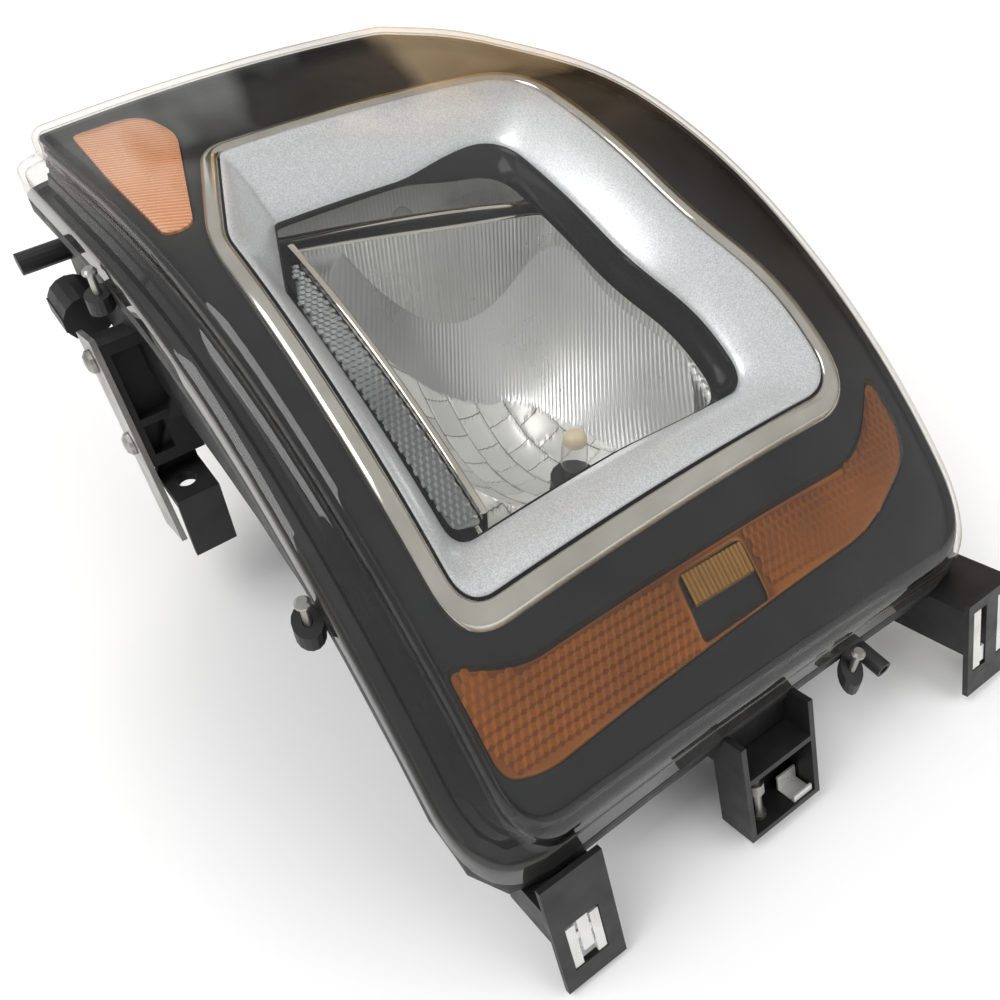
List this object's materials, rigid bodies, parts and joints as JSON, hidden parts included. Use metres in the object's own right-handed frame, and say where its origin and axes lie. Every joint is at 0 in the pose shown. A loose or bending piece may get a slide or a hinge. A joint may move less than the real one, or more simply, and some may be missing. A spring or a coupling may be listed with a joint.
{
  "type": "car headlight",
  "caption": "Automotive headlight assembly: clear wrap-over lens, silver bezel, tilting reflector carriage, amber side lenses, vented black housing with mounting tabs.",
  "frame": {"origin": "centre of the bounding box's base: the plane through the four rear pads, midway along the length and the width", "axes": "+Z out through the lens, +Y along the length towards the inboard end, -Y towards the amber outboard end, -X towards the shoulder side with the mounting ears"},
  "size_m": [0.3368, 0.4502, 0.235],
  "materials": {
    "black_plastic": "matte",
    "gloss_black": "gloss",
    "charcoal_plastic": "semi-gloss",
    "clear_lens": "clear gloss",
    "smoked_lens": "grey gloss",
    "amber_lens": "amber gloss",
    "bulb_glass": "clear gloss",
    "amber_glass": "amber gloss",
    "sealant": "matte",
    "chrome_plate": "polished",
    "satin_silver": "satin",
    "mirror_coat": "mirror",
    "zinc_steel": "satin",
    "bare_clip": "satin",
    "cream_ceramic": "satin"
  },
  "bodies": {
    "case": {"housing_shell": "black_plastic", "outer_lens": "clear_lens", "lens_seal": "sealant", "inner_mask": "charcoal_plastic", "chrome_ring": "chrome_plate", "silver_bezel": "satin_silver", "inner_bezel": "gloss_black", "side_amber_lens": "amber_lens", "marker_lens": "amber_lens", "marker_plate": "charcoal_plastic", "corner_amber_lens": "amber_lens", "turn_reflector": "mirror_coat", "side_strip_lens": "smoked_lens", "side_blade": "chrome_plate", "pivot_stud_1": "zinc_steel", "pivot_stud_2": "zinc_steel", "power_inlet": "black_plastic", "vent_tube": "sealant", "mount_plate": "zinc_steel", "plate_bolt_1": "zinc_steel", "plate_bolt_2": "zinc_steel", "lens_screw_1": "zinc_steel", "lens_screw_2": "zinc_steel", "lens_screw_3": "zinc_steel", "lens_screw_4": "zinc_steel", "left_tab_clip": "bare_clip", "right_tab_clip_1": "bare_clip", "right_tab_clip_2": "bare_clip", "middle_clip": "bare_clip", "middle_screw": "zinc_steel"},
    "reflector_carriage": {"main_reflector": "mirror_coat", "upper_reflector": "mirror_coat", "divider_bar": "chrome_plate", "carriage_frame": "black_plastic"},
    "aim_screw_body": {"aim_screw": "zinc_steel"},
    "aim_nut_body": {"aim_nut": "black_plastic"},
    "main_lamp": {"lamp_holder": "black_plastic", "lamp_glass": "bulb_glass", "lamp_end_cap": "cream_ceramic"},
    "upper_lamp": {"upper_lamp_holder": "black_plastic", "upper_lamp_glass": "bulb_glass"},
    "turn_lamp": {"turn_lamp_holder": "black_plastic", "turn_lamp_glass": "amber_glass"},
    "marker_lamp": {"marker_lamp_holder": "black_plastic", "marker_lamp_glass": "bulb_glass"},
    "service_cap_body": {"service_cap": "black_plastic"},
    "upper_cap_body": {"upper_service_cap": "black_plastic"}
  },
  "joints": [
    {"name": "aim_tilt", "type": "hinge", "parent": "case", "child": "reflector_carriage", "pos_m": [-0.076, 0.01358, 0.126], "axis": [0, -1, 0], "range_deg": [-2, 2]},
    {"name": "aim_screw_turn", "type": "hinge", "parent": "case", "child": "aim_screw_body", "pos_m": [0.108, 0.00158, 0.05], "axis": [0, 0, 1], "range_deg": [-1500, 1500]},
    {"name": "aim_nut_travel", "type": "slide", "parent": "case", "child": "aim_nut_body", "axis": [0, 0, 1], "range_m": [-0.0063, 0.0063]},
    {"name": "main_lamp_twist", "type": "hinge", "parent": "reflector_carriage", "child": "main_lamp", "pos_m": [0.02, -0.03442, 0.06], "axis": [0, 0, 1], "range_deg": [0, 45]},
    {"name": "upper_lamp_twist", "type": "hinge", "parent": "reflector_carriage", "child": "upper_lamp", "pos_m": [0.014, 0.10958, 0.15], "axis": [0, 0, 1], "range_deg": [0, 45]},
    {"name": "turn_lamp_twist", "type": "hinge", "parent": "case", "child": "turn_lamp", "pos_m": [-0.098, 0.16558, 0.1], "axis": [0, 0, 1], "range_deg": [0, 45]},
    {"name": "marker_lamp_twist", "type": "hinge", "parent": "case", "child": "marker_lamp", "pos_m": [0.011, -0.14492, 0.05], "axis": [0, 0, 1], "range_deg": [0, 45]},
    {"name": "service_cap_twist", "type": "hinge", "parent": "case", "child": "service_cap_body", "pos_m": [0.02, -0.03442, 0.01], "axis": [0, 0, 1], "range_deg": [0, 45]},
    {"name": "upper_cap_twist", "type": "hinge", "parent": "case", "child": "upper_cap_body", "pos_m": [0.014, 0.10958, 0.01], "axis": [0, 0, 1], "range_deg": [0, 45]}
  ],
  "couplings": [
    {"joint": "aim_nut_travel", "follows": "aim_screw_turn", "m_per_rad": 0.00023873},
    {"joint": "aim_tilt", "follows": "aim_screw_turn", "ratio": 0.0012975}
  ]
}
